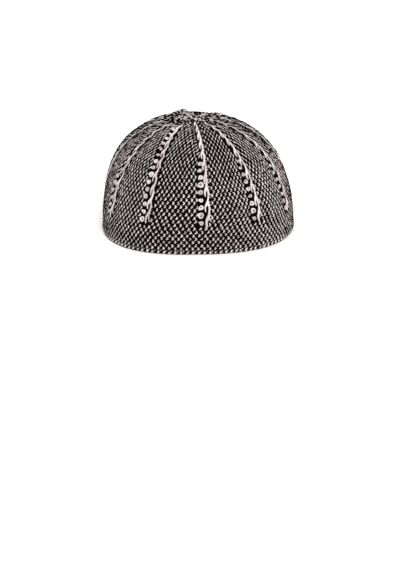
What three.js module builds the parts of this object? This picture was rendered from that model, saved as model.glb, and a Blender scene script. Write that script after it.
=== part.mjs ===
// Knitted prayer cap: one hollow knitted wall in twelve gores, with a raised strand on every join.
// Millimetres, +Z up. The rim lies on z = 0 and the front of the cap faces -Y.
import * as THREE from 'three';

// The dome, outside
const CAP_WIDTH = 166;
const CAP_LENGTH = 190;
const CAP_HEIGHT = 92.4;
const KNIT_THICKNESS = 2.4;
const RIM_SQUARENESS = 2.5; // superellipse exponent of the outline seen from above, 2 is a plain ellipse
const CROWN_SQUARENESS = 2.1;
const WALL_STEEPNESS = 2.6; // profile exponent of height: a higher one keeps the walls upright for longer
const TOP_FLATNESS = 2.28; // profile exponent of reach: a higher one gives a flatter top
const CROWN_LEAN = { side: -4, back: 7 };

// The gores and the ribs on their joins
const FIRST_RIB_DEG = 2.4; // along the rim from the front, a whole turn being 360
const RIB_TWIST_DEG = 3.7; // how far a rib drifts round between the rim and the crown
const RIBS = [
  { place: 'front', driftDeg: 1.2, footHeight: 23 },
  { place: 'front right', driftDeg: -0.6, footHeight: 23 },
  { place: 'right front', driftDeg: -0.3, footHeight: 21 },
  { place: 'right', driftDeg: 0, footHeight: 22 },
  { place: 'right back', driftDeg: 0.5, footHeight: 23 },
  { place: 'back right', driftDeg: -0.4, footHeight: 22 },
  { place: 'back', driftDeg: 0.3, footHeight: 23 },
  { place: 'back left', driftDeg: -0.5, footHeight: 23 },
  { place: 'left back', driftDeg: 0.4, footHeight: 22 },
  { place: 'left', driftDeg: 0, footHeight: 22 },
  { place: 'left front', driftDeg: -0.1, footHeight: 20 },
  { place: 'front left', driftDeg: -0.4, footHeight: 24 },
];
const RIB_TOP_REACH = 0.11; // share of the rim's radius where the ribs run out
const RIB_LINK_LENGTH = 12.2;
// One link from its fork up to the next: half its width, and how far it lies to the right of the join
const RIB_LINK = [
  { along: 0.08, radius: 1.2, side: -0.1 }, // fork
  { along: 0.34, radius: 1.7, side: -0.3 }, // knot
  { along: 0.55, radius: 1.1, side: 0.2 }, // strand
  { along: 0.85, radius: 0.9, side: 0.6 },
];
const RIB_FLATTENING = 0.6; // height of a strand over its width
const RIB_TIP_SHARE = 0.6; // width of the strand at the crown over its width at the foot
const RIB_GAP = 0.3;
const RIB_SIDES = 6;

// One gore from its own rib to the next: how far the knit stands out of the plain dome
const GORE_SECTION = [
  { across: 0.0, lift: -0.4 }, // seat of the rib
  { across: 0.1, lift: -1.0 }, // foot of the rib's right side
  { across: 0.32, lift: 0.2 },
  { across: 0.58, lift: 0.2 },
  { across: 0.78, lift: -0.2 },
  { across: 0.89, lift: -1.6 }, // groove for the loops beside the next rib
];
const BAND_TOP_HEIGHT = 14; // the plain band has no relief
const FULL_RELIEF_HEIGHT = 32;
const FULL_RELIEF_REACH = 0.16; // nearer the centre the relief dies away

// The gathered centre of the crown and the uneven knit behind it, from the centre
const MOUNDS = [
  { place: 'dent', side: 2, back: 0, radius: 8, lift: -2.2 },
  { place: 'tuft', side: -9, back: 16, radius: 12, lift: 3.4 },
  { place: 'dip beside the tuft', side: 6, back: 28, radius: 12, lift: -1.2 },
];

const OUTER_ROWS = 26;
const INNER_ROWS = 14;
const ROW_CROWDING = 1.4; // above 1, the rows crowd towards the centre of the crown
const ARC_STEPS = 720;

const QUARTER_TURN = Math.PI / 2;
const WHOLE_TURN = 2 * Math.PI;

// Share of the way up and of the way out at an angle of climb, 0 at the rim and a quarter turn at the crown
const riseAt = (climb) => Math.sin(climb) ** (2 / WALL_STEEPNESS);
const reachAt = (climb) => Math.max(Math.cos(climb), 0) ** (2 / TOP_FLATNESS);
const climbAtHeight = (height) => Math.asin((height / CAP_HEIGHT) ** (WALL_STEEPNESS / 2));
const climbAtReach = (reach) => Math.acos(reach ** (TOP_FLATNESS / 2));

function planRadius(bearing, squareness, inset) {
  const across = Math.abs(Math.sin(bearing) / (CAP_WIDTH / 2 - inset)) ** squareness;
  const along = Math.abs(Math.cos(bearing) / (CAP_LENGTH / 2 - inset)) ** squareness;
  return (across + along) ** (-1 / squareness);
}

function domePoint(bearing, climb, inset = 0) {
  const rise = riseAt(climb);
  const squareness = THREE.MathUtils.lerp(RIM_SQUARENESS, CROWN_SQUARENESS, rise);
  const radius = reachAt(climb) * planRadius(bearing, squareness, inset);
  return new THREE.Vector3(
    CROWN_LEAN.side * rise ** 2 + radius * Math.sin(bearing),
    CROWN_LEAN.back * rise ** 2 - radius * Math.cos(bearing),
    (CAP_HEIGHT - inset) * rise,
  );
}

function domeNormal(bearing, climb) {
  const step = 0.01;
  const low = Math.max(climb - step, step);
  const high = Math.min(climb + step, QUARTER_TURN - step);
  if (high <= low) {
    return new THREE.Vector3(0, 0, 1);
  }
  const up = domePoint(bearing, high).sub(domePoint(bearing, low));
  const round = domePoint(bearing + step, climb).sub(domePoint(bearing - step, climb));
  return round.cross(up).normalize();
}

// Bearings that lie evenly along the rim, because the gores are equally wide there
function evenBearings() {
  const lengths = [0];
  let last = domePoint(0, 0);
  for (let step = 1; step <= ARC_STEPS; step += 1) {
    const next = domePoint((step / ARC_STEPS) * WHOLE_TURN, 0);
    lengths.push(lengths[step - 1] + next.distanceTo(last));
    last = next;
  }
  return (turns) => {
    const wholeTurns = Math.floor(turns);
    const wanted = (turns - wholeTurns) * lengths[ARC_STEPS];
    const above = Math.max(lengths.findIndex((length) => length >= wanted), 1);
    const share = (wanted - lengths[above - 1]) / (lengths[above] - lengths[above - 1]);
    return ((above - 1 + share) / ARC_STEPS + wholeTurns) * WHOLE_TURN;
  };
}
const bearingAtTurns = evenBearings();

// Where a place across a gore lies round the rim, in turns, with the ribs' own drift and twist
function ribTurns(rib) {
  const row = RIBS[rib % RIBS.length];
  return (FIRST_RIB_DEG + row.driftDeg) / 360 + rib / RIBS.length;
}

function goreBearing(gore, across, climb) {
  const turns = THREE.MathUtils.lerp(ribTurns(gore), ribTurns(gore + 1), across);
  return bearingAtTurns(turns + (RIB_TWIST_DEG / 360) * riseAt(climb));
}

// The round rises and hollows of the crown
function moundsLift(point) {
  return MOUNDS.reduce((total, { side, back, radius, lift }) => {
    const away = Math.hypot(point.x - CROWN_LEAN.side - side, point.y - CROWN_LEAN.back - back);
    return total + lift * Math.max(1 - (away / radius) ** 2, 0) ** 2;
  }, 0);
}

function fabricPoint(bearing, climb, goreLift, inset = 0) {
  const height = CAP_HEIGHT * riseAt(climb);
  const aboveBand = THREE.MathUtils.smoothstep(height, BAND_TOP_HEIGHT, FULL_RELIEF_HEIGHT);
  const outsideCentre = Math.min(reachAt(climb) / FULL_RELIEF_REACH, 1);
  const point = domePoint(bearing, climb, inset);
  const centre = height > CAP_HEIGHT / 2 ? moundsLift(point) : 0;
  const lift = goreLift * aboveBand * outsideCentre + centre;
  return point.addScaledVector(domeNormal(bearing, climb), lift);
}

// A lathe turned from a plain profile, with every vertex then set by its column and row
function shapedLathe(profile, segments, place) {
  const geometry = new THREE.LatheGeometry(profile, segments);
  const position = geometry.attributes.position;
  for (let vertex = 0; vertex < position.count; vertex += 1) {
    const column = Math.floor(vertex / profile.length) % segments;
    const point = place(column, vertex % profile.length);
    position.setXYZ(vertex, point.x, point.y, point.z);
  }
  geometry.computeVertexNormals();
  return geometry;
}

function climbRows(count) {
  const rows = [];
  for (let row = 0; row <= count; row += 1) {
    rows.push(QUARTER_TURN * (1 - (1 - row / count) ** ROW_CROWDING));
  }
  return rows;
}

// The knitted wall: up the outside from the rim to the crown, with the inside behind it
function crownGeometry() {
  const inside = climbRows(INNER_ROWS).map((climb) => ({ climb, inset: KNIT_THICKNESS }));
  const outside = climbRows(OUTER_ROWS).map((climb) => ({ climb, inset: 0 }));
  const rows = [...inside.reverse(), ...outside];
  const profile = rows.map(({ climb, inset }) => {
    const radius = reachAt(climb) * (CAP_WIDTH / 2 - inset);
    return new THREE.Vector2(radius, (CAP_HEIGHT - inset) * riseAt(climb));
  });
  const columns = GORE_SECTION.length;
  return shapedLathe(profile, columns * RIBS.length, (column, row) => {
    const { across, lift } = GORE_SECTION[column % columns];
    const { climb, inset } = rows[row];
    const bearing = goreBearing(Math.floor(column / columns), across, climb);
    return fabricPoint(bearing, climb, lift, inset);
  });
}

// A rib: a spindle of links laid along its meridian, with its underside a small gap above the knit
function ribGeometry(rib) {
  const seatLift = GORE_SECTION[0].lift;
  const footClimb = climbAtHeight(RIBS[rib].footHeight);
  const topClimb = climbAtReach(RIB_TOP_REACH);
  const onKnit = (climb) => fabricPoint(goreBearing(rib, 0, climb), climb, seatLift);
  const route = new THREE.CatmullRomCurve3(
    climbRows(OUTER_ROWS)
      .map((climb) => THREE.MathUtils.mapLinear(climb, 0, QUARTER_TURN, footClimb, topClimb))
      .map(onKnit),
  );
  const links = Math.round(route.getLength() / RIB_LINK_LENGTH);
  const sections = [{ along: 0, radius: 0, side: 0 }];
  for (let link = 0; link < links; link += 1) {
    RIB_LINK.forEach(({ along, radius, side }) => {
      const share = (link + along) / links;
      const taper = THREE.MathUtils.lerp(1, RIB_TIP_SHARE, share);
      sections.push({ along: share, radius: radius * taper, side: side * taper });
    });
  }
  sections.push({ along: 1, radius: 0, side: 0 });
  const profile = sections.map(({ along, radius }) => new THREE.Vector2(radius, along));
  return shapedLathe(profile, RIB_SIDES, (column, row) => {
    const { along, radius, side } = sections[row];
    const seat = route.getPointAt(along);
    const forward = route.getTangentAt(along);
    const outward = knitNormal(seat);
    const sideways = new THREE.Vector3().crossVectors(outward, forward).normalize(); // to the left
    const angle = (column / RIB_SIDES) * WHOLE_TURN;
    return seat
      .addScaledVector(outward, RIB_GAP + RIB_FLATTENING * radius * (1 + Math.sin(angle)))
      .addScaledVector(sideways, radius * Math.cos(angle) - side);
  });
}

// Outward direction of the dome under a point that lies on it
function knitNormal(point) {
  const climb = climbAtHeight(Math.min(point.z, CAP_HEIGHT));
  const rise = riseAt(climb);
  const bearing = Math.atan2(point.x - CROWN_LEAN.side * rise ** 2, CROWN_LEAN.back * rise ** 2 - point.y);
  return domeNormal(bearing, climb);
}

const knitMaterial = new THREE.MeshStandardMaterial({ color: 0x655e5d, roughness: 0.95, metalness: 0 });
const strandMaterial = new THREE.MeshStandardMaterial({ color: 0xe6dcd9, roughness: 0.9, metalness: 0 });

const cap = new THREE.Group();
const crown = new THREE.Mesh(crownGeometry(), knitMaterial);
crown.name = 'crown';
cap.add(crown);

const ribs = new THREE.Group();
RIBS.forEach((row, rib) => {
  const strand = new THREE.Mesh(ribGeometry(rib), strandMaterial);
  strand.name = `rib_${String(rib + 1).padStart(2, '0')}`;
  ribs.add(strand);
});
cap.add(ribs);

export default cap;
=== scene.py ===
import math

import bpy
import numpy as np
from mathutils import Matrix, Vector


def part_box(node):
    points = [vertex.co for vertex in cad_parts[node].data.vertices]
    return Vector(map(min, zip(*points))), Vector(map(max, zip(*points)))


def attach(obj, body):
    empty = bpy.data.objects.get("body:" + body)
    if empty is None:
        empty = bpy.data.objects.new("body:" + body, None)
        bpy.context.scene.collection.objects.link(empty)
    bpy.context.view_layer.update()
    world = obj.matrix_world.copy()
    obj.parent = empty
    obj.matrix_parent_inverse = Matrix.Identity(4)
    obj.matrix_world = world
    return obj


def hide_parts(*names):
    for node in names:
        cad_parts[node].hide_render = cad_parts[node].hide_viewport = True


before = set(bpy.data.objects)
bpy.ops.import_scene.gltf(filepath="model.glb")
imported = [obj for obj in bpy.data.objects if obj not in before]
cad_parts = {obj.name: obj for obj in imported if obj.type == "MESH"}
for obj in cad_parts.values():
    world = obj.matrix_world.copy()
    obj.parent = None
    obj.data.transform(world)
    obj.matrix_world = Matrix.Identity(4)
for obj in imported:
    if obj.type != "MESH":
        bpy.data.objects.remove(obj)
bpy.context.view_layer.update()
mm = 0.001
wholeTurn = 2 * math.pi
rng = np.random.default_rng(1201)
print("frame loaded,", len(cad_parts), "nodes")

# The dome that the knit follows, as the frame has it

crownLow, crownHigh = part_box("crown")
dome = {
    "halfWidth": (crownHigh.x - crownLow.x) / 2,
    "halfLength": (crownHigh.y - crownLow.y) / 2,
    "height": 92.4 * mm,  # without the tuft
    "rimSquareness": 2.5,  # 2 is a plain ellipse seen from above
    "crownSquareness": 2.1,
    "wallSteepness": 2.6,
    "topFlatness": 2.28,
    "leanSide": -4 * mm,
    "leanBack": 7 * mm,
}
gores = {
    "firstRib": 2.4 / 360,  # turns along the rim from the front
    "twist": 3.7 / 360,  # how far a rib drifts between rim and crown
    "topReach": 0.11,  # share of the rim's radius where the ribs run out
    "swingReach": 0.45,  # share of a rib over which its foot swings
    "swingLimit": 1.2,  # for what hangs below the foot
    "sinkFrom": (0.84, 0.98),  # shares of a rib over which its top goes down among the stitches
    "across": [0.0, 0.1, 0.32, 0.58, 0.78, 0.89, 1.0],  # from one rib to the next
    "lift": np.array([-0.4, -1.0, 0.2, 0.2, -0.2, -1.6, -0.4]) * mm,
    "reliefLow": 14 * mm,  # the plain band has no relief
    "reliefFull": 32 * mm,
    "reliefReach": 0.16,  # and it fades within this share of the rim's radius
}
ribForms = {  # a value for each rib, from the front round by the right
    "drift": np.array([1.2, -0.6, -0.3, 0, 0.5, -0.4, 0.3, -0.5, 0.4, 0, -0.1, -0.4]) / 360,  # turns
    "foot": np.array([23, 23, 21, 22, 23, 22, 23, 23, 22, 22, 20, 24]) * mm,  # height above the rim
    "swing": np.array([12, 32, 10, 8, 0, 8, 2, 10, 0, 3, 6, 2]) * 0.1 * mm,  # of the foot to the right
    "closed": np.array([0, 0, 0, 0, 0, 3, 0, 0, 4, 0, 0, 6]) * 0.1,  # how far the foot's fork is
    "spread": np.array([1.0, 1.1, 1.35, 1.2, 1.0, 1.2, 1.1, 1.3, 1.0, 1.2, 1.35, 1.05]),  # of the links
    "yarn": np.array([1.0, 0.9, 0.75, 0.45, 0.8, 0.9, 0.8, 0.9, 0.8, 0.45, 0.75, 0.95]),  # thickness
    "topYarn": np.array([95, 70, 75, 90, 85, 80, 90, 80, 85, 90, 80, 62]) / 100,  # thinner at the crown
    "stub": np.array([10, 7, 5, 5, 8, 8, 10, 8, 7, 5, 5, 6]) * 0.1,  # reach of the short ends
    "sinkLate": np.array([6, 2, 6, 2, 0, 2, 0, 3, 0, 2, 2, 0]) / 100,  # the top goes down further up
    "loopEnd": np.array([50, 46, 36, 40, 50, 46, 38, 44, 50, 46, 34, 80]) / 100,  # share with loops
    "loopSize": np.array([100, 78, 80, 85, 95, 85, 90, 80, 95, 85, 88, 96]) / 100,
    "loopAway": np.array([59, 59, 59, 63, 59, 59, 59, 59, 59, 67, 75, 59]) * 0.1 * mm,  # at the foot
    "loopNear": np.array([57, 57, 40, 35, 45, 40, 50, 40, 45, 35, 35, 31]) * 0.1 * mm,  # nearer on top
    "lean": np.array([15, -60, -90, -90, -60, -20, 20, 60, 90, 100, 100, 85]) / 100,  # of high stitches
}
mounds = [
    {"side": 2 * mm, "back": 0.0, "radius": 8 * mm, "lift": -2.2 * mm},  # dent
    {"side": -9 * mm, "back": 16 * mm, "radius": 12 * mm, "lift": 3.4 * mm},  # tuft
    {"side": 6 * mm, "back": 26 * mm, "radius": 18 * mm, "lift": -1.8 * mm},  # dip beside the tuft
]
fineness = {"rim": 721, "wall": 4001, "gore": 33, "rib": 160}  # points in the tables of lengths
goreCount = len(ribForms["drift"])


def smoothStep(value, low, high):
    share = np.clip((value - low) / (high - low), 0, 1)
    return share * share * (3 - 2 * share)


def unit(vectors):
    return vectors / np.linalg.norm(vectors, axis=-1, keepdims=True)


def runLengths(points):  # length along a path up to each of its points
    steps = np.linalg.norm(np.diff(points, axis=0), axis=1)
    return np.concatenate([[0], np.cumsum(steps)])


def riseAt(climb):  # climb is 0 at the rim and a quarter turn at the crown
    return np.sin(climb) ** (2 / dome["wallSteepness"])


def reachAt(climb):
    return np.maximum(np.cos(climb), 0) ** (2 / dome["topFlatness"])


def climbAtHeight(height):
    return np.arcsin((height / dome["height"]) ** (dome["wallSteepness"] / 2))


def climbAtReach(reach):
    return np.arccos(reach ** (dome["topFlatness"] / 2))


def domePoint(bearing, climb):
    bearing, climb = np.broadcast_arrays(bearing, climb)
    rise = riseAt(climb)
    square = dome["rimSquareness"] + (dome["crownSquareness"] - dome["rimSquareness"]) * rise
    across = np.abs(np.sin(bearing) / dome["halfWidth"]) ** square
    along = np.abs(np.cos(bearing) / dome["halfLength"]) ** square
    radius = reachAt(climb) * (across + along) ** (-1 / square)
    x = dome["leanSide"] * rise**2 + radius * np.sin(bearing)
    y = dome["leanBack"] * rise**2 - radius * np.cos(bearing)
    return np.stack([x, y, dome["height"] * rise], axis=-1)


def domeOutward(bearing, climb):
    step = 0.01
    climb = np.clip(climb, 2 * step, math.pi / 2 - 2 * step)
    up = domePoint(bearing, climb + step) - domePoint(bearing, climb - step)
    around = domePoint(bearing + step, climb) - domePoint(bearing - step, climb)
    return unit(np.cross(around, up))


# Bearings spaced evenly along the rim, because the gores are equally wide there
rimBearings = np.linspace(0, wholeTurn, fineness["rim"])
rimLengths = runLengths(domePoint(rimBearings, 0.0))
rimShares = rimLengths / rimLengths[-1]
ribPlaces = np.arange(-2, goreCount + 3)  # with a few to spare at both ends
ribTurns = gores["firstRib"] + ribForms["drift"][ribPlaces % goreCount] + ribPlaces / goreCount


def bearingAt(place, climb):  # place counts gores: 2.5 is the middle of the third
    turns = np.interp(place, ribPlaces, ribTurns) + gores["twist"] * riseAt(climb)
    whole = np.floor(turns)
    return np.interp(turns - whole, rimShares, rimBearings) + whole * wholeTurn


def fromMound(point, mound):  # distances to the right and back
    x = point[..., 0] - dome["leanSide"] - mound["side"]
    y = point[..., 1] - dome["leanBack"] - mound["back"]
    return x, y


def moundsAt(point):  # rise of the tuft and fall of the dent and the dip
    lift = np.zeros(point.shape[:-1])
    for mound in mounds:
        x, y = fromMound(point, mound)
        share = np.maximum(1 - (x**2 + y**2) / mound["radius"] ** 2, 0)
        lift = lift + mound["lift"] * share**2 * (point[..., 2] > dome["height"] / 2)
    return lift


def reliefAt(place, climb):
    across = np.mod(place, 1)
    lift = np.zeros(np.shape(across))
    knots = zip(gores["across"], gores["across"][1:], gores["lift"], gores["lift"][1:])
    for low, high, before, after in knots:
        within = (across >= low) & (across < high)
        lift = np.where(within, before + (after - before) * smoothStep(across, low, high), lift)
    lift = lift * smoothStep(dome["height"] * riseAt(climb), gores["reliefLow"], gores["reliefFull"])
    return lift * np.minimum(reachAt(climb) / gores["reliefReach"], 1)


def knitPoint(place, climb, depth=0.0):  # depth is outward from the knit's face
    place, climb = np.broadcast_arrays(place, climb)
    bearing = bearingAt(place, climb)
    point = domePoint(bearing, climb)
    lift = reliefAt(place, climb) + moundsAt(point) + depth
    return point + domeOutward(bearing, climb) * lift[..., None]


def knitAxes(place, climb):  # unit vectors round the cap, up its wall and out of it
    step = 0.004
    climb = np.clip(climb, 2 * step, math.pi / 2 - 3 * step)
    up = unit(knitPoint(place, climb + step) - knitPoint(place, climb - step))
    around = knitPoint(place + step, climb) - knitPoint(place - step, climb)
    outward = unit(np.cross(around, up))
    return np.cross(up, outward), up, outward


# Lengths along the wall and across a gore

climbTable = np.linspace(0, math.pi / 2, fineness["wall"])
wallLengths = runLengths(domePoint(0.0, climbTable))  # up the front


def goreLengths(gore, climb):  # distance from the rib at fine steps across a gore
    places = gore + np.linspace(0, 1, fineness["gore"])
    return places, runLengths(domePoint(bearingAt(places, climb), climb))


footWidths = [goreLengths(g, climbAtHeight(ribForms["foot"][g]))[1][-1] for g in range(goreCount)]
footWidth = np.mean(footWidths)
ribRoom = {  # clear of regular columns
    "right": 3.6 * mm,
    "left": 1.2 * mm,  # beyond the middle of the loops
    "bareLeft": 3.0 * mm,  # above the loops
    "least": 0.6,
    "mostOfGore": 0.7,
    "loopFade": (0.1, 0.02),  # before and after the last loop, as shares of the rib
}


def roomShare(width):  # room beside a rib in a gore this wide, as a share of the room at its foot
    return ribRoom["least"] + (1 - ribRoom["least"]) * np.minimum(width / footWidth, 1)


def ribShare(rib, climb):  # 0 at a rib's foot and 1 at its top
    ends = np.array([climbAtHeight(ribForms["foot"][rib]), climbAtReach(gores["topReach"])])
    length = np.interp(climb, climbTable, wallLengths)
    return np.interp(length, np.interp(ends, climbTable, wallLengths), (0, 1))


def swingAt(rib, share):
    return ribForms["swing"][rib] * np.clip(1 - share / gores["swingReach"], 0, gores["swingLimit"]) ** 2


def sunkAt(rib, share):  # 0 where a rib stands on the knit and 1 where its top is down among the stitches
    return smoothStep(share - ribForms["sinkLate"][rib], *gores["sinkFrom"])


def ribRooms(gore, climb, width):  # right of the gore's own rib and left of the next one
    following = (gore + 1) % goreCount
    end = ribForms["loopEnd"][following]
    before, after = ribRoom["loopFade"]
    bare = smoothStep(ribShare(following, climb), end - before, end + after)
    right = ribRoom["right"] * roomShare(width) + swingAt(gore, ribShare(gore, climb))
    looped = ribRoom["left"] + ribForms["loopAway"][following]  # as far left as the loops reach
    left = (looped + (ribRoom["bareLeft"] - looped) * bare) * roomShare(width)
    left = left - swingAt(following, ribShare(following, climb))
    shrink = min(1, ribRoom["mostOfGore"] * width / (right + left))
    shrink = shrink * (1 - sunkAt(gore, ribShare(gore, climb)))
    return right * shrink, left * shrink


# Yarn: tubes along many short paths at once, with a cell each in the bake's atlas

atlas = {  # shares of a cell
    "margin": 0.06,
    "bodyTop": 0.7,
    "discRadius": 0.07,  # the two ends lie above the body
    "lowerDisc": (0.3, 0.86),
    "upperDisc": (0.7, 0.86),
}


def tubeSet(paths, radii, outward, sides=5, closed=False, flat=1.0):
    count, rings = paths.shape[:2]
    if closed:
        tangent = np.roll(paths, -1, axis=1) - np.roll(paths, 1, axis=1)
    else:
        tangent = np.gradient(paths, axis=1)
    tangent = unit(tangent)
    side = unit(np.cross(outward, tangent))
    over = np.cross(tangent, side)
    turn = np.arange(sides) * wholeTurn / sides + wholeTurn / 4
    cos, sin = np.cos(turn)[:, None], np.sin(turn)[:, None] * flat
    ring = side[:, :, None] * cos + over[:, :, None] * sin
    radii = np.broadcast_to(radii, (count, rings))
    points = paths[:, :, None] + ring * radii[:, :, None, None]
    lengths = np.linalg.norm(np.diff(np.concatenate([paths, paths[:, :1]], axis=1), axis=1), axis=2)
    along = np.concatenate([np.zeros((count, 1)), np.cumsum(lengths, axis=1)], axis=1)
    return {
        "points": points,
        "closed": closed,
        "spans": rings if closed else rings - 1,
        "along": along / (2 * np.mean(radii, axis=1, keepdims=True)),  # in yarn widths
        "tone": rng.random(count),
    }


def tubeFaces(tubes):  # vertex numbers within one tube, with a span and a side for each corner
    rings, sides = tubes["points"].shape[1:3]
    span, side = np.meshgrid(np.arange(tubes["spans"]), np.arange(sides), indexing="ij")
    corners = [(0, 0), (0, 1), (1, 1), (1, 0)]
    spanAt = np.stack([span + up for up, _ in corners], axis=-1).reshape(-1, 4)
    sideAt = np.stack([side + over for _, over in corners], axis=-1).reshape(-1, 4)
    quads = (spanAt % rings) * sides + sideAt % sides
    ends = np.arange(sides)
    caps = np.array([ends[::-1], (rings - 1) * sides + ends])
    return quads, spanAt, sideAt, caps


def endDiscs(sides):  # where the two ends of a tube lie in its cell
    turn = np.arange(sides) * wholeTurn / sides
    disc = atlas["discRadius"] * np.stack([np.cos(turn), np.sin(turn)], axis=-1)
    return np.stack([disc[::-1] + atlas["lowerDisc"], disc + atlas["upperDisc"]])


def makePiece(name, sets, yarn):
    total = sum(len(tubes["points"]) for tubes in sets)
    across = math.ceil(math.sqrt(total))  # atlas cells in a row
    points, corners, starts, bake, twist, tones = [], [], [], [], [], []
    tubeCount, vertexCount, loopCount = 0, 0, 0
    for tubes in sets:
        count, rings, sides = tubes["points"].shape[:3]
        quads, spanAt, sideAt, caps = tubeFaces(tubes)
        base = vertexCount + np.arange(count) * rings * sides
        number = tubeCount + np.arange(count)
        origin = np.stack([number % across, number // across], axis=-1) / across
        u = atlas["margin"] + (1 - 2 * atlas["margin"]) * sideAt / sides
        v = atlas["margin"] + (atlas["bodyTop"] - atlas["margin"]) * spanAt / tubes["spans"]
        inCell = np.stack([u, v], axis=-1).reshape(1, -1, 2)
        corners.append((base[:, None] + quads.reshape(1, -1)).ravel())
        starts.append(loopCount + np.arange(count * len(quads)) * 4)
        loopCount += count * quads.size
        bake.append((origin[:, None] + inCell / across).reshape(-1, 2))
        alongAt = tubes["along"][:, spanAt.ravel()]
        aroundAt = np.broadcast_to(sideAt.ravel() / sides, alongAt.shape)
        twist.append(np.stack([aroundAt, alongAt], axis=-1).reshape(-1, 2))
        if not tubes["closed"]:
            corners.append((base[:, None] + caps.reshape(1, -1)).ravel())
            starts.append(loopCount + np.arange(count * 2) * sides)
            loopCount += count * 2 * sides
            bake.append((origin[:, None] + endDiscs(sides).reshape(1, -1, 2) / across).reshape(-1, 2))
            twist.append(np.zeros((count * 2 * sides, 2)))
        points.append(tubes["points"].reshape(-1, 3))
        tones.append(np.repeat(tubes["tone"], rings * sides))
        vertexCount += count * rings * sides
        tubeCount += count
    maps = {"OFBake": bake, "yarnTurn": twist}
    return meshPiece(name, points, corners, starts, maps, tones, yarn)


def meshPiece(name, points, corners, starts, maps, tones, yarn):
    material, slot = yarn
    points = np.concatenate(points)
    corners = np.concatenate(corners)
    starts = np.concatenate(starts)
    mesh = bpy.data.meshes.new(name)
    mesh.vertices.add(len(points))
    mesh.vertices.foreach_set("co", points.astype(np.float32).ravel())
    mesh.loops.add(len(corners))
    mesh.loops.foreach_set("vertex_index", corners.astype(np.int32))
    mesh.polygons.add(len(starts))
    mesh.polygons.foreach_set("loop_start", starts.astype(np.int32))
    mesh.update(calc_edges=True)
    mesh.shade_smooth()
    for label, uvs in maps.items():
        layer = mesh.uv_layers.new(name=label)
        layer.uv.foreach_set("vector", np.concatenate(uvs).astype(np.float32).ravel())
    tone = mesh.attributes.new("strandTone", "FLOAT", "POINT")
    tone.data.foreach_set("value", np.concatenate(tones).astype(np.float32))
    mesh.materials.append(material)
    piece = bpy.data.objects.new(name, mesh)
    bpy.context.scene.collection.objects.link(piece)
    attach(piece, "root")
    return piece


# Finishes


class Wire:  # a shader socket that can be used in sums
    def __init__(self, finish, socket):
        self.finish = finish
        self.socket = socket

    def math(self, operation, left, right=0.0):
        return self.finish.node("Math", {"operation": operation}, {0: left, 1: right})[0]

    def __add__(self, other):
        return self.math("ADD", self, other)

    def __radd__(self, other):
        return self.math("ADD", other, self)

    def __sub__(self, other):
        return self.math("SUBTRACT", self, other)

    def __rsub__(self, other):
        return self.math("SUBTRACT", other, self)

    def __mul__(self, other):
        return self.math("MULTIPLY", self, other)

    def __rmul__(self, other):
        return self.math("MULTIPLY", other, self)

    def sine(self):
        return self.math("SINE", self)


class Finish:
    def __init__(self, name):
        self.material = bpy.data.materials.new(name)
        self.material.use_nodes = True
        self.tree = self.material.node_tree
        self.shader = self.tree.nodes["Principled BSDF"]

    def node(self, kind, settings=None, inputs=None):
        made = self.tree.nodes.new("ShaderNode" + kind)
        for key, value in (settings or {}).items():
            setattr(made, key, value)
        for key, value in (inputs or {}).items():
            self.feed(made.inputs[key], value)
        return [Wire(self, socket) for socket in made.outputs]

    def feed(self, socket, value):
        if isinstance(value, Wire):
            self.tree.links.new(value.socket, socket)
        else:
            socket.default_value = value

    def noise(self, scale, detail):
        place = self.node("TexCoord")[3]  # object coordinates
        return self.node("TexNoise", inputs={"Vector": place, "Scale": scale, "Detail": detail})[0]

    def mixColours(self, share, dark, light):
        sockets = {0: share, 6: dark, 7: light}  # those for colours
        return self.node("Mix", {"data_type": "RGBA"}, sockets)[2]

    def set(self, **inputs):
        for key, value in inputs.items():
            self.feed(self.shader.inputs[key], value)


yarns = {
    "creamYarn": {
        "deep": (0.26, 0.222, 0.216, 1),  # painted shade between the plies, and the low end of the random fuzz and tone
        "face": (0.83, 0.748, 0.74, 1),
    },
    "blackYarn": {
        # painted shade between the plies, and the low end of the random fuzz and tone
        "deep": (0.0016, 0.0008, 0.0007, 1),
        "face": (0.0045, 0.0025, 0.0022, 1),
    },
    "plies": 3,
    "twist": 0.9,  # turns of the plies over one yarn width
    "fuzz": (2400, 3),  # noise cells in a metre, and detail
    "light": {"least": 0.1, "ply": 0.3, "fuzz": 0.25, "tone": 0.5},  # what brings out the face colour: ply paints shade into the grooves between the plies, fuzz and tone vary it at random
    "relief": {"ply": 0.7, "fuzz": 0.5},
    "bumpStrength": 0.7,
    "bumpDepth": 0.12 * mm,
    "roughness": 0.95,
    "smoothing": 0.12,  # of the roughness on the plies
    "specular": 0.05,
}


def yarnFinish(name):
    look, light, relief = yarns[name], yarns["light"], yarns["relief"]
    yarn = Finish(name)
    turn = yarn.node("UVMap", {"uv_map": "yarnTurn"})[0]
    around, along, _ = yarn.node("SeparateXYZ", inputs={0: turn})
    phase = (around * yarns["plies"] + along * yarns["twist"]) * wholeTurn
    ply = phase.sine() * 0.5 + 0.5
    fuzz = yarn.noise(*yarns["fuzz"])
    tone = yarn.node("Attribute", {"attribute_name": "strandTone"})[2]  # its factor
    # painted shade in the grooves between the plies, with random fuzz and tone
    share = light["least"] + ply * light["ply"] + fuzz * light["fuzz"] + tone * light["tone"]
    height = ply * relief["ply"] + fuzz * relief["fuzz"]
    strength, depth = yarns["bumpStrength"], yarns["bumpDepth"]
    bump = yarn.node("Bump", inputs={"Strength": strength, "Distance": depth, "Height": height})[0]
    yarn.set(**{
        "Base Color": yarn.mixColours(share, look["deep"], look["face"]),
        "Roughness": yarns["roughness"] - ply * yarns["smoothing"],
        "Normal": bump,
        "Specular IOR Level": yarns["specular"],
    })
    return yarn.material


creamYarn = (yarnFinish("creamYarn"), "cream_yarn")  # material and slot
blackYarn = (yarnFinish("blackYarn"), "black_yarn")
print("yarns spun")

# Rows and columns of stitches

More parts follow.
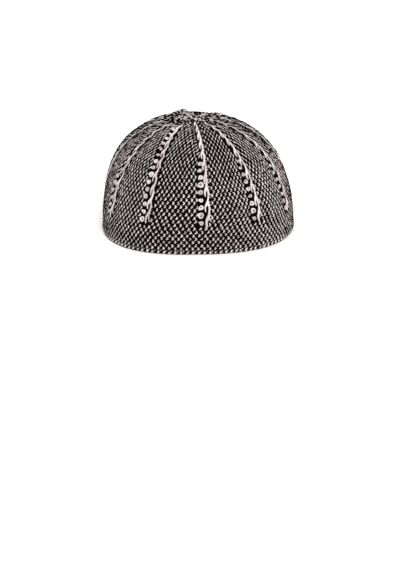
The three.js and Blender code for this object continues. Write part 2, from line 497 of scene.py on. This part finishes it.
stitches = {
    "bandColumns": 21,  # columns of a gore at the rim
    "goreColumns": 17,  # columns between the ribs
    "leastWidth": 1.7 * mm,  # columns end at the next rib rather than get narrower
    "rowHeight": (2.65 * mm, 4.13 * mm, 2.5 * mm),  # at the rim, at the shoulder and at the crown
    "shoulder": 0.8,  # share of the way up the wall
    "firstRow": 0.95 * mm,  # lower edge of the first row
    "lastReach": 0.035,
    "squeezeBelow": 8 * mm,  # the columns close up from this far below a rib's foot
    "squeezeAbove": 14 * mm,
    "squeezed": 0.3,  # share of the closing up after which spare columns end and black ones begin
    "yarnShare": 0.225,  # yarn radius over the mean size of a stitch
    "yarnMost": 0.285,  # and over its width
    "groundPitch": 2.1 * mm,  # black columns in the room beside the ribs
    "messReach": (0.12, 0.45),  # untidy within the first, tidy beyond the second
    "mess": 2.6,
}
stitchVaries = {
    "drift": 0.06,  # share of a stitch's width and height
    "tilt": 0.14,  # radians
    "swell": 0.09,  # share of the yarn's radius
    "legs": 0.14,  # one leg thicker than the other, as a share of the radius
    "depth": 0.08 * mm,
}
# One stitch from the end of a leg to its tip and back: shares of its size, and depth in yarn radii
stitchPath = {
    "along": np.array([-0.37, -0.06, 0.25, -0.07, -0.4]),  # the lower leg is the longer and fuller
    "up": np.array([0.42, 0.26, 0.03, -0.21, -0.43]),
    "out": np.array([-0.9, 0.0, 0.1, 0.15, -0.7]),
    "radius": np.array([0.78, 0.97, 1.0, 1.06, 0.86]),
    "legs": np.array([[1, 1, 0, -1, -1]]),
}
leaningPath = {  # near the crown
    "along": np.array([0.26, 0.19, 0.06, -0.12, -0.28]),
    "up": np.array([0.48, 0.24, 0.0, -0.24, -0.48]),
    "out": np.array([-0.5, 0.0, 0.1, 0.15, -0.45]),
    "reach": (0.6, 0.9),  # leaning within the first, as above beyond the second
}
shades = [  # plump is the yarn's thickness at the crown and below
    {"name": "cream_stitches", "yarn": creamYarn, "plump": (0.8, 0.95), "sink": 0.5 * mm},
    {"name": "black_stitches", "yarn": blackYarn, "plump": (1.24, 1.22), "sink": 0.34 * mm},
    {"name": "black_ground", "yarn": blackYarn, "plump": (1.1, 1.1), "sink": 0.7 * mm},
]
ground = 2  # the last of these
shadeColumn, goreColumn, slantColumn = 4, 5, 6  # of a stitch's row, after place, climb, width and height


def rowTable():
    last = np.interp(climbAtReach(stitches["lastReach"]), climbTable, wallLengths)
    rows = []
    edge = stitches["firstRow"]
    while edge < last:
        height = np.interp(edge / last, (0, stitches["shoulder"], 1), stitches["rowHeight"])
        rows.append((np.interp(edge + height / 2, wallLengths, climbTable), height))
        edge += height
    return rows


def layOutColumns():
    cells = []
    bandColumns = stitches["bandColumns"]
    column = np.arange(bandColumns)
    below = {}  # where the columns of a gore stand in the row below
    for row, (climb, height) in enumerate(rowTable()):
        level = dome["height"] * riseAt(climb)
        ribbed = reachAt(climb) > gores["topReach"]
        for gore in range(goreCount):
            places, lengths = goreLengths(gore, climb)
            width = lengths[-1]
            rightFoot, leftFoot = ribForms["foot"][gore], ribForms["foot"][(gore + 1) % goreCount]
            right, left = ribRooms(gore, climb, width) if ribbed else (0, 0)
            room = width - right - left
            pitch = max(room / stitches["goreColumns"], stitches["leastWidth"])
            inBand = (column + 0.5) * width / bandColumns
            inGore = right + (column + 0.5) * pitch  # the spare columns end at the next rib's loops
            foot = rightFoot + (leftFoot - rightFoot) * column / (bandColumns - 1)
            squeeze = smoothStep(level, foot - stitches["squeezeBelow"], foot + stitches["squeezeAbove"])
            offset = inBand + (inGore - inBand) * squeeze
            kept = (squeeze < stitches["squeezed"]) | (inGore < right + room)
            pitches = width / bandColumns + (pitch - width / bandColumns) * squeeze
            stand = np.interp(offset, lengths, places)
            slant = (stand - below.get(gore, stand)) * width / height  # a column's way right for its way up
            below[gore] = stand
            for c in np.nonzero(kept)[0]:
                shade = (row + c + gore * bandColumns) % 2
                cells.append((stand[c], climb, pitches[c], height, shade, gore, slant[c]))
            besideRibs = ((0, right, squeeze[0]), (width - left, width, squeeze[-1]))
            for low, high, above in besideRibs:
                fits = round((high - low) / stitches["groundPitch"])
                count = fits if above > stitches["squeezed"] else 0
                for c in range(count):
                    step = (high - low) / count
                    place = np.interp(low + (c + 0.5) * step, lengths, places)
                    cells.append((place, climb, step, height, ground, gore, 0))
    return np.array(cells)


def stitchPoints(place, climb, along, up, out, depth=0.0):  # paths, and the way out of the knit
    around, upward, outward = knitAxes(place, climb)
    paths = knitPoint(place, climb, depth)[:, None] + along[..., None] * around[:, None]
    paths = paths + up[..., None] * upward[:, None] + out[..., None] * outward[:, None]
    return paths, outward[:, None]


def stitchTubes(cells, plump, sink):
    place, climb, width, height = cells.T[:4]
    count = len(cells)
    calm = smoothStep(reachAt(climb), *stitches["messReach"])
    mess = (stitches["mess"] + (1 - stitches["mess"]) * calm)[:, None]
    drift = rng.normal(0, stitchVaries["drift"], (count, 2)) * mess
    tilt = rng.normal(0, stitchVaries["tilt"], (count, 1)) * mess
    swell = 1 + rng.normal(0, stitchVaries["swell"], (count, 1)) * mess
    legs = rng.normal(0, stitchVaries["legs"], (count, 1)) * stitchPath["legs"]
    deep = rng.normal(0, stitchVaries["depth"], (count, 1)) * mess
    radius = np.minimum(stitches["yarnShare"] * np.sqrt(width * height), stitches["yarnMost"] * width)
    lower = smoothStep(reachAt(climb), *leaningPath["reach"])[:, None]
    radius = (plump[0] + (plump[1] - plump[0]) * lower) * radius[:, None]
    lean = ribForms["lean"][cells[:, goreColumn].astype(int)][:, None]
    leaning = dict(leaningPath, along=leaningPath["along"] * lean)
    blended = [leaning[key] + (stitchPath[key] - leaning[key]) * lower for key in ("along", "up", "out")]
    along, up, out = blended
    up = (up + drift[:, 1:]) * height[:, None]
    along = (along + drift[:, :1]) * width[:, None] + up * cells[:, slantColumn, None]
    along, up = along * np.cos(tilt) - up * np.sin(tilt), along * np.sin(tilt) + up * np.cos(tilt)
    out = out * radius - sink + deep
    paths, outward = stitchPoints(place, climb, along, up, out)
    return tubeSet(paths, radius * stitchPath["radius"] * swell * (1 + legs), outward)


darkPatches = [  # circles, from the crown's centre, within which the stitches and the gathered arcs are black
    {"side": 4 * mm, "back": 12.5 * mm, "radius": 4.4 * mm},
    {"side": 4.5 * mm, "back": 29 * mm, "radius": 2.7 * mm},
    {"side": 22.5 * mm, "back": 29 * mm, "radius": 2.8 * mm},
    {"side": -10.7 * mm, "back": -15.4 * mm, "radius": 2.5 * mm},
]


def inDarkPatch(points):
    dark = np.zeros(len(points), bool)
    for patch in darkPatches:
        dark = dark | (np.hypot(*fromMound(points, patch)) < patch["radius"])
    return dark & (points[:, 2] > dome["height"] / 2)


cells = layOutColumns()
cells[inDarkPatch(knitPoint(cells[:, 0], cells[:, 1])), shadeColumn] = 1
print("stitches laid out:", len(cells))
for gore in range(goreCount):
    for number, shade in enumerate(shades):
        chosen = cells[(cells[:, goreColumn] == gore) & (cells[:, shadeColumn] == number)]
        tubes = stitchTubes(chosen, shade["plump"], shade["sink"])
        makePiece("%s_%02d" % (shade["name"], gore + 1), [tubes], shade["yarn"])
print("stitches knitted")

# Backs of the stitches, inside the cap

inside = {
    "depth": -2.05 * mm,
    "yarnShare": 0.24,
    "along": np.array([-0.12, 0.12, -0.12]),  # shares of a stitch's width
    "up": np.array([-0.52, 0.0, 0.52]),
    "out": np.array([0.9, -0.1, 0.9]),  # in yarn radii, towards the outside
    "radius": np.array([0.8, 1.0, 0.8]),
    "swell": 0.08,  # share by which the yarn's radius varies
    "drift": 0.05,  # share of a stitch
    "sides": 4,
}


def makeInside():
    for number, name in ((0, "cream_inside"), (1, "black_inside")):
        chosen = cells[np.minimum(cells[:, shadeColumn], 1) == number]
        place, climb, width, height = chosen.T[:4]
        radius = (inside["yarnShare"] * np.sqrt(width * height))[:, None]
        radius = radius * (1 + rng.normal(0, inside["swell"], radius.shape))
        drift = rng.normal(0, inside["drift"], (len(chosen), 2))
        along = (inside["along"] + drift[:, :1]) * width[:, None]
        up = (inside["up"] + drift[:, 1:]) * height[:, None]
        out = inside["out"] * radius
        paths, outward = stitchPoints(place, climb, along, up, out, inside["depth"])
        tubes = tubeSet(paths, radius * inside["radius"], outward, inside["sides"])
        makePiece(name, [tubes], shades[number]["yarn"])


makeInside()
print("backs of the stitches made")

# Black backing that the stitches sit in, closed at the rim and open below: black yarn, darkened to paint
# the shade in the gaps between the stitches

backing = {
    "columns": 20,  # in a gore
    "rows": 64,
    "outside": -0.95 * mm,  # below the face of the knit
    "inside": -2.0 * mm,
    "rimClear": 0.5 * mm,
    "topClear": 0.004,  # radians of climb
    "margin": 0.01,  # share of the bake's square
    # a low tone keeps the backing near the deep colour: painted shade in the gaps between the stitches
    "tone": 0.1,
}


def makeBacking():
    columns = goreCount * backing["columns"]
    places = np.arange(columns) / backing["columns"]
    low = np.interp(backing["rimClear"], wallLengths, climbTable)
    high = math.pi / 2 - backing["topClear"]
    climbs = low + (high - low) * np.linspace(0, 1, backing["rows"])
    inner = knitPoint(places[None, :], climbs[::-1, None], backing["inside"])
    outer = knitPoint(places[None, :], climbs[:, None], backing["outside"])
    grid = np.concatenate([inner, outer])
    rows = len(grid)
    ring, column = np.meshgrid(np.arange(rows - 1), np.arange(columns), indexing="ij")
    after = (column + 1) % columns
    quads = [ring * columns + column, ring * columns + after]
    quads += [(ring + 1) * columns + after, (ring + 1) * columns + column]
    quads = np.stack(quads, axis=-1).reshape(-1, 4)
    aroundAt = np.stack([column, column + 1, column + 1, column], axis=-1).reshape(-1, 4) / columns
    riseTo = np.stack([ring, ring, ring + 1, ring + 1], axis=-1).reshape(-1, 4) / (rows - 1)
    margin = backing["margin"]
    bake = margin + (1 - 2 * margin) * np.stack([aroundAt, riseTo], axis=-1).reshape(-1, 2)
    twist = np.stack([aroundAt * columns, riseTo * rows], axis=-1).reshape(-1, 2)
    caps = np.array([np.arange(columns)[::-1], (rows - 1) * columns + np.arange(columns)])
    points = [grid.reshape(-1, 3)]
    corners = [quads.ravel(), caps.ravel()]
    starts = [np.arange(len(quads)) * 4, quads.size + np.arange(2) * columns]
    noUv = np.zeros((caps.size, 2))
    maps = {"OFBake": [bake, noUv], "yarnTurn": [twist, noUv]}
    tones = [np.full(rows * columns, backing["tone"])]
    piece = meshPiece("knit_backing", points, corners, starts, maps, tones, blackYarn)
    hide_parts("crown")


makeBacking()
print("backing made")

# Ribs: chains of links, each from a free end on its left up past the free end of the next

ribs = {
    "linkLength": 12.2 * mm,
    "lastLink": 0.5,  # links by which the last one is longer
    "spreadAtTop": 0.45,  # spread at the crown over that at the foot
    "sink": 1.5 * mm,  # of the top
    "shift": 0.05,  # links by which the lower ends vary in height
    "wobble": 0.1,  # share by which the spread varies
    "sway": 0.25,  # mm to either side
    "swell": 0.08,  # share by which the yarn's radius varies
    "aside": 0.1,  # gores from a rib to where its scale is taken
    "widthEvery": 8,  # steps up the wall
    "sides": 8,
}
linkYarns = [
    {
        "along": np.array([0.08, 0.13, 0.22, 0.34, 0.45, 0.54, 0.63, 0.75, 0.92, 1.12, 1.33, 1.5]),  # links
        "side": np.array([-1.25, -1.4, -1.55, -1.65, -1.5, -1.0, -0.35, 0.3, 0.9, 1.25, 1.2, 0.6]) * mm,
        "out": np.array([-0.8, -0.3, -0.2, -0.1, 0.0, 0.1, 0.15, 0.05, -0.1, -0.3, -0.5, -0.9]) * mm,
        "radius": np.array([0.3, 0.58, 0.74, 0.8, 0.95, 1.25, 1.4, 1.2, 0.95, 0.84, 0.75, 0.6]) * mm,
        # Thinner at the crown
        "atTop": np.array([0.4, 0.4, 0.4, 0.42, 0.5, 0.6, 0.7, 0.78, 0.82, 0.85, 0.85, 0.8]),
        # The lowest link hangs further down and is thicker there
        "footDrop": np.array([0.06, 0.06, 0.05, 0.03, 0.01, 0, 0, 0, 0, 0, 0, 0]),
        "footThick": np.array([2.0, 1.45, 1.3, 1.3, 1.2, 1, 1, 1, 1, 1, 1, 1]),
        "forks": 0,
    },
    {
        "along": np.array([0.25, 0.3, 0.37, 0.46, 0.56, 0.68, 0.82]),
        "side": np.array([2.9, 2.4, 1.8, 1.35, 1.1, 0.95, 0.9]) * mm,
        "out": np.array([-0.8, -0.3, -0.1, 0.0, 0.05, -0.1, -0.5]) * mm,
        "radius": np.array([0.4, 0.6, 0.68, 0.8, 0.86, 0.7, 0.5]) * mm,
        "atTop": np.full(7, 0.4),
        "footDrop": 0.0,
        "footThick": 1.0,
        "forks": 1,  # the right leg of the foot's fork
    },
]
stub = {
    "along": np.array([0.4, 0.2, -0.1, -0.5]) * mm,
    "side": np.array([0.9, 1.7, 2.6, 3.4]) * mm,
    "out": np.array([-0.1, 0.1, 0.1, -0.5]) * mm,
    "radius": np.array([0.45, 0.46, 0.44, 0.34]) * mm,
    "atTop": 0.6,
    "first": 0.75,  # links above the foot
    "pitch": 3.1 * mm,
    "shift": 0.3,  # mm up or down
    "sizes": (0.7, 1.15),
}


def ribWall(rib):  # climbs from a rib's foot to its top, with the length run so far and the gore's width
    ends = climbAtHeight(ribForms["foot"][rib]), climbAtReach(gores["topReach"])
    climbs = np.linspace(*ends, fineness["rib"])
    lengths = runLengths(knitPoint(float(rib), climbs))
    measured = climbs[::ribs["widthEvery"]]
    widths = np.array([goreLengths(rib, climb)[1][-1] for climb in measured])
    aside = ribs["aside"]
    left, right = [domePoint(bearingAt(rib + step, climbs), climbs) for step in (-aside, aside)]
    scales = np.linalg.norm(right - left, axis=1) / (2 * aside)  # length of a gore at the rate here
    return climbs, lengths, np.interp(climbs, measured, widths), scales


def besideRib(rib, wall, run, side, out):  # points beside a rib, and the way out of the knit there
    climbs, lengths, _, scales = wall
    climb = np.interp(run, lengths, climbs)
    beyond = np.minimum(run, 0) + np.maximum(run - lengths[-1], 0)  # below the foot or past the top
    climb = climb + beyond / (wallLengths[-1] / (math.pi / 2))
    place = rib + (side + swingAt(rib, run / lengths[-1])) / np.interp(run, lengths, scales)
    outward = domeOutward(bearingAt(place, climb), climb)
    return knitPoint(place, climb, out), outward


def linkTubes(rib, wall, yarn, starts, length):
    each = (len(starts), 1)
    share = starts[:, None] / wall[1][-1]
    spread = ribForms["spread"][rib] * (1 + (ribs["spreadAtTop"] - 1) * share)
    thin = ribForms["yarn"][rib] * (1 + (yarn["atTop"] * ribForms["topYarn"][rib] - 1) * share)
    shift = rng.normal(0, ribs["shift"], each) * np.linspace(1, 0, len(yarn["along"]))
    atFoot = starts[:, None] == 0
    run = starts[:, None] + (yarn["along"] + shift - atFoot * yarn["footDrop"]) * length
    wobble = 1 + rng.normal(0, ribs["wobble"], each)
    narrow = 1 - atFoot * yarn["forks"] * ribForms["closed"][rib]
    side = (yarn["side"] * wobble + rng.normal(0, ribs["sway"], each) * mm) * spread * narrow
    out = yarn["out"] * thin - ribs["sink"] * sunkAt(rib, run / wall[1][-1])
    paths, outward = besideRib(rib, wall, run, side, out)
    thick = (1 + rng.normal(0, ribs["swell"], each)) * np.where(atFoot, yarn["footThick"], 1) * narrow
    return tubeSet(paths, yarn["radius"] * thin * thick, outward, ribs["sides"])


def stubTubes(rib, wall, length):  # short ends on a rib's right
    total = wall[1][-1]
    rungs = np.arange(stub["first"] * length, gores["sinkFrom"][0] * total, stub["pitch"])
    rungs = rungs + rng.normal(0, stub["shift"], len(rungs)) * mm
    size = (1 + (stub["atTop"] - 1) * rungs / total) * rng.uniform(*stub["sizes"], len(rungs))
    size = (size * ribForms["stub"][rib])[:, None]
    run = rungs[:, None] + stub["along"] * size
    paths, outward = besideRib(rib, wall, run, stub["side"] * size, stub["out"] * size)
    return tubeSet(paths, stub["radius"] * size, outward, ribs["sides"])


def makeRib(rib):
    wall = ribWall(rib)
    total = wall[1][-1]
    links = round(total / ribs["linkLength"])
    length = total / (links + ribs["lastLink"])
    starts = np.arange(links) * length
    sets = [linkTubes(rib, wall, yarn, starts, length) for yarn in linkYarns]
    sets.append(stubTubes(rib, wall, length))
    name = "rib_%02d" % (rib + 1)
    piece = makePiece(name + "_strand", sets, creamYarn)
    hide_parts(name)


# Loops: a column of small rings on the left of every rib, with black yarn between them

loops = {
    "pitch": (6.2 * mm, 7.4 * mm),  # at the foot and at the crown
    "firstRun": 3.5 * mm,
    "length": 3.5 * mm,
    "height": 4.0 * mm,
    "drop": (0.75, 0.35),  # a drop with its point to the left: its mean height, and how much it narrows
    "stand": (0.4, 0.25),  # mm out of the knit, and less at the point
    "yarn": (0.62 * mm, 0.78 * mm),  # radius of the thinnest and thickest
    "flat": 0.9,
    "leastSize": 0.5,
    "sizeVaries": 0.1,
    "heightVaries": 0.2,
    "awayVaries": 0.2,  # mm
    "uneven": 0.3,  # share by which a ring's yarn swells and thins
    "hang": (0.2, 0.4),  # how far a ring's tail hangs, and how much that varies, in radians
    "hole": (-0.95 * mm, 0.0),  # depth of the yarn seen through a ring
    "rings": 12,
    "sides": 6,
}
tail = {
    "along": np.array([-1.1, -1.6, -2.2, -2.9]) * mm,
    "up": np.array([0.0, -0.05, -0.15, -0.3]) * mm,
    "out": np.array([0.2, 0.1, -0.1, -0.6]) * mm,
    "radius": np.array([0.72, 0.66, 0.5, 0.3]) * mm,
}
core = np.array([-1.0, 0.0, 1.0]) * mm  # yarn behind a ring's hole
between = {
    "along": np.array([-1.5, -0.8, 0.1, 0.9, 1.4]) * mm,
    "side": np.array([-3.2, -1.7, 0.0, 1.7, 3.0]) * mm,
    "out": np.array([-0.8, 0.0, 0.1, -0.1, -0.8]) * mm,
    "radius": np.array([0.55, 0.68, 0.7, 0.66, 0.5]) * mm,
}


def loopRuns(total, end):
    low, high = loops["pitch"]
    runs = [loops["firstRun"]]
    while runs[-1] < end * total:
        runs.append(runs[-1] + low + (high - low) * runs[-1] / total)
    return np.array(runs[:-1])


def makeLoops(rib):
    wall = ribWall(rib)
    total = wall[1][-1]
    runs = loopRuns(total, ribForms["loopEnd"][rib])
    each = (len(runs), 1)
    widths = np.interp(runs, wall[1], wall[2])
    size = loops["leastSize"] + (1 - loops["leastSize"]) * np.minimum(widths / footWidth, 1)[:, None]
    size = size * ribForms["loopSize"][rib] * (1 + rng.normal(0, loops["sizeVaries"], each))
    away = (ribForms["loopAway"][rib] - ribForms["loopNear"][rib] * runs / total)[:, None]
    away = away + rng.normal(0, loops["awayVaries"], each) * mm
    hang = rng.normal(*loops["hang"], each)
    yarn = rng.uniform(*loops["yarn"], each) * size
    turn = np.arange(loops["rings"]) * wholeTurn / loops["rings"]
    uneven = 1 + loops["uneven"] * np.cos(turn + rng.uniform(0, wholeTurn, each))
    along = -np.cos(turn) * loops["length"] / 2
    mean, narrowing = loops["drop"]
    up = -np.sin(turn) * (mean - narrowing * np.cos(turn)) * loops["height"] / 2
    up = up * (1 + rng.normal(0, loops["heightVaries"], each))
    stand, less = loops["stand"]
    filled = 1 - runs[:, None] / total  # the rings close up towards the crown
    hole = rng.uniform(*loops["hole"], each) * filled + np.zeros(len(core))
    parts = [
        (along, up, (stand - less * np.cos(turn)) * mm * size, yarn * uneven),
        (tail["along"], tail["up"], tail["out"] * size, tail["radius"] * size),
        (core, 0 * core, hole, yarn),
    ]
    sets = []
    for part, (along, up, out, radius) in enumerate(parts):
        run = runs[:, None] + (along * np.sin(hang) + up * np.cos(hang)) * size
        side = (along * np.cos(hang) - up * np.sin(hang)) * size - away
        paths, outward = besideRib(rib, wall, run, side, out)
        ring = part == 0
        flat = loops["flat"] if ring else 1
        sets.append(tubeSet(paths, radius, outward, loops["sides"], closed=ring, flat=flat))
    makePiece("rib_%02d_loops" % (rib + 1), sets, creamYarn)
    gaps = runs - loops["pitch"][0] / 2
    run = gaps[:, None] + between["along"] * size
    paths, outward = besideRib(rib, wall, run, between["side"] * size - away, between["out"] * size)
    bars = tubeSet(paths, between["radius"] * size, outward, loops["sides"])
    makePiece("rib_%02d_ground" % (rib + 1), [bars], blackYarn)


for rib in range(goreCount):
    makeRib(rib)
    makeLoops(rib)
print("ribs and loops made")

# Gathered centre of the crown: short loose arcs of both yarns

gather = {
    "count": 130,
    "radius": 12 * mm,
    "leastSpot": 0.12,  # share of that radius left free in the middle
    "goldenAngle": 2.39996,
    "drift": 0.2,  # radians round the centre
    "turn": 0.7,  # radians out of line with the centre
    "length": 3.8 * mm,
    "lengths": (0.7, 1.15),  # shares of it
    "bend": 0.25,  # share of the length
    "arch": 0.7 * mm,
    "arches": (0.5, 1.2),
    "archFall": 1.6,  # the ends go deeper than the arch is high
    "sink": 0.3 * mm,
    "tuft": 0.8 * mm,  # mostly cream above this rise
    "tuftLift": 0.2,  # share of the rise
    "blackEvery": (4, 2),  # one arc in so many is black, on the tuft and beside it
    "yarn": 0.46 * mm,
    "taper": (1.05, 0.25),  # thickness in the middle, and less at the ends
    "swell": 0.08,
    "rings": 5,
    "sides": 6,
}


def makeGather():
    count = gather["count"]
    each = (count, 1)
    number = np.arange(count)
    spot = np.sqrt((number + 0.5) / count)
    bearing = number * gather["goldenAngle"] + rng.normal(0, gather["drift"], count)
    climb = climbAtReach(np.clip(spot, gather["leastSpot"], 1) * gather["radius"] / dome["halfWidth"])
    centre = domePoint(bearing, climb)
    outward = domeOutward(bearing, climb)
    radial = unit(centre - np.array([dome["leanSide"], dome["leanBack"], 0]))
    radial = unit(radial - outward * np.sum(radial * outward, axis=1, keepdims=True))
    across = np.cross(outward, radial)
    turn = rng.normal(0, gather["turn"], each)
    forward = radial * np.cos(turn) + across * np.sin(turn)
    sideways = np.cross(outward, forward)
    share = np.linspace(-1, 1, gather["rings"])
    length = gather["length"] * rng.uniform(*gather["lengths"], each)
    bend = rng.normal(0, gather["bend"], each) * length
    arch = gather["arch"] * rng.uniform(*gather["arches"], each)
    rise = moundsAt(centre)[:, None]
    lift = rise + gather["tuftLift"] * np.maximum(rise, 0) - gather["sink"]
    lift = lift + arch * (1 - gather["archFall"] * share**2)
    paths = centre[:, None] + forward[:, None] * (share * length / 2)[..., None]
    paths = paths + sideways[:, None] * (bend * (1 - share**2))[..., None]
    paths = paths + outward[:, None] * lift[..., None]
    middle, less = gather["taper"]
    radii = gather["yarn"] * (middle - less * share**2) * (1 + rng.normal(0, gather["swell"], each))
    onTuft, beside = [number % every == 1 for every in gather["blackEvery"]]
    dark = np.where(rise[:, 0] > gather["tuft"], onTuft, beside) | inDarkPatch(centre)
    for shade, name in ((0, "gather_cream"), (1, "gather_black")):
        chosen = dark == shade
        tubes = tubeSet(paths[chosen], radii[chosen], outward[chosen][:, None], gather["sides"])
        makePiece(name, [tubes], shades[shade]["yarn"])


makeGather()

# Black strands that lie across the back of the crown
crossings = {
    "strands": [  # from, to, back and lift in mm
        (-2, 9, 31, 0.5),
        (-1, 9, 28, 0.5),
        (0, 10, 25, 0.5),
        (17, 27, 30, -0.3),
        (18, 26, 27, -0.2),
        (33, 40, 27, -0.3),
    ],
    "drift": 0.3,  # mm to the front or back
    "yarn": 0.85 * mm,
    "arch": np.array([-1.0, -0.2, 0.0, 0.0, -0.2, -1.0]) * mm,
    "reaches": (0.04, 0.8, 400),  # first, last and count in the table of distances
    "sides": 6,
}


def climbAtDistance(bearing, distance):  # from the crown's centre, seen from above
    reaches = np.linspace(*crossings["reaches"])
    wall = domePoint(bearing, climbAtReach(reaches)) - domePoint(bearing, math.pi / 2)
    return climbAtReach(np.interp(distance, np.linalg.norm(wall[:, :2], axis=1), reaches))


def makeCrossings():
    strands = np.array(crossings["strands"]) * mm
    x = strands[:, :1] + (strands[:, 1:2] - strands[:, :1]) * np.linspace(0, 1, len(crossings["arch"]))
    y = strands[:, 2:3] + rng.normal(0, crossings["drift"], x.shape) * mm
    bearing = np.arctan2(x, -y)
    places = zip(bearing.ravel(), np.hypot(x, y).ravel())
    climb = np.array([climbAtDistance(*place) for place in places]).reshape(x.shape)
    outward = domeOutward(bearing, climb)
    centre = domePoint(bearing, climb)
    paths = centre + outward * (moundsAt(centre) + strands[:, 3:] + crossings["arch"])[..., None]
    tubes = tubeSet(paths, crossings["yarn"], outward, crossings["sides"])
    makePiece("crown_crossings", [tubes], blackYarn)


makeCrossings()
print("crown gathered")

# Rim: a row of stitches wrapped round the edge

rimEdge = {
    "columns": goreCount * stitches["bandColumns"],
    "radius": 0.9 * mm,
    "out": np.array([-0.6, 0.3, -0.8, -2.1, -1.6]) * mm,
    "height": np.array([2.6, 1.5, 1.12, 1.5, 2.6]) * mm,
    "slant": np.array([0.3, 0.15, 0.0, -0.15, -0.3]),  # in columns
    "drift": 0.06,  # in columns
    "swell": 0.06,
    "axesClimb": 0.02,  # where the way round the rim is taken
}


def makeRim():
    column = np.arange(rimEdge["columns"])
    place = (column + 0.5) / stitches["bandColumns"]
    drift = rng.normal(0, rimEdge["drift"], len(column))
    places = place[:, None] + (rimEdge["slant"] + drift[:, None]) / stitches["bandColumns"]
    climbs = np.interp(rimEdge["height"], wallLengths, climbTable)
    climbs = np.broadcast_to(climbs, places.shape)
    paths = knitPoint(places, climbs, rimEdge["out"])
    forward = knitAxes(place, np.full(len(place), rimEdge["axesClimb"]))[0]
    radius = rimEdge["radius"] * (1 + rng.normal(0, rimEdge["swell"], (len(column), 1)))
    for number, name in ((0, "rim_edge_cream"), (1, "rim_edge_black")):
        chosen = (column + 1) % 2 == number
        wraps = tubeSet(paths[chosen], radius[chosen], forward[chosen][:, None])
        makePiece(name, [wraps], shades[number]["yarn"])


makeRim()
print("rim bound")

# Floor, light and camera

stage = {
    "floorSize": 30.0,
    "floorColour": (0.9, 0.895, 0.885, 1),
    "floorRoughness": 0.7,
    "floorClouds": 0.1,  # added to the roughness
    "cloudNoise": (3.0, 2),  # scale and detail
    "worldColour": (1.0, 0.995, 0.99, 1),
    "worldStrength": 0.41,
    "lamps": [  # place, where it points, size, power
        ((0.5, -1.8, 1.7), (0.0, 0.0, 0.05), 1.3, 50),  # front
        ((0.1, -0.3, 2.2), (0.0, 0.0, 0.05), 1.2, 17),  # above
        ((-0.5, 1.9, 1.5), (0.0, 0.0, 0.05), 1.5, 24),  # behind
        ((0.0, 1.5, 0.55), (0.0, 1.5, 0.0), 1.7, 5.0),  # on the floor behind
    ],
}
photo = {
    "width": 400,  # pixels
    "height": 570,
    "seenAt": (197.3, 165.5),  # where the aim point shows
    "focal": 1487.7,  # pixels
    "sensor": 36,  # mm, along the height
    "aim": Vector((0, 0, 0.05)),
    "distance": 1.3,
    "elevation": math.radians(15.25),
    "roll": math.radians(0.85),
}


def makeFloor():
    half = stage["floorSize"] / 2
    corners = [(-half, -half, 0), (half, -half, 0), (half, half, 0), (-half, half, 0)]
    mesh = bpy.data.meshes.new("floor")
    mesh.from_pydata(corners, [], [(0, 1, 2, 3)])
    floor = bpy.data.objects.new("floor", mesh)
    bpy.context.scene.collection.objects.link(floor)
    paint = Finish("floorPaint")
    roughness = stage["floorRoughness"] + paint.noise(*stage["cloudNoise"]) * stage["floorClouds"]
    paint.set(**{"Base Color": stage["floorColour"], "Roughness": roughness})
    mesh.materials.append(paint.material)


def makeLight():
    world = bpy.data.worlds.new("studio")
    bpy.context.scene.world = world
    world.use_nodes = True
    sky = world.node_tree.nodes["Background"]
    sky.inputs["Color"].default_value = stage["worldColour"]
    sky.inputs["Strength"].default_value = stage["worldStrength"]
    for number, (place, target, size, power) in enumerate(stage["lamps"]):
        lamp = bpy.data.lights.new("softbox_%d" % number, "AREA")
        lamp.size = size
        lamp.energy = power
        light = bpy.data.objects.new(lamp.name, lamp)
        light.location = place
        light.rotation_euler = (Vector(target) - Vector(place)).to_track_quat("-Z", "Y").to_euler()
        bpy.context.scene.collection.objects.link(light)


def makeCamera():
    lens = bpy.data.cameras.new("camera")
    lens.sensor_width = photo["sensor"]
    lens.lens = photo["focal"] / photo["height"] * lens.sensor_width
    right = photo["seenAt"][0] - photo["width"] / 2
    above = photo["height"] / 2 - photo["seenAt"][1]
    cos, sin = math.cos(photo["roll"]), math.sin(photo["roll"])
    right, above = right * cos + above * sin, above * cos - right * sin
    pitch = photo["elevation"] + math.atan2(above, photo["focal"])
    yaw = math.atan2(right, math.hypot(photo["focal"], above))
    back = Vector((0, -math.cos(photo["elevation"]), math.sin(photo["elevation"])))
    turn = Matrix.Rotation(yaw, 4, "Z") @ Matrix.Rotation(math.pi / 2 - pitch, 4, "X")
    turn = turn @ Matrix.Rotation(-photo["roll"], 4, "Z")
    camera = bpy.data.objects.new("camera", lens)
    camera.matrix_world = Matrix.Translation(photo["aim"] + back * photo["distance"]) @ turn
    bpy.context.scene.collection.objects.link(camera)
    bpy.context.scene.camera = camera


makeFloor()
makeLight()
makeCamera()
bpy.context.scene.view_settings.view_transform = "Standard"
print("stage set")
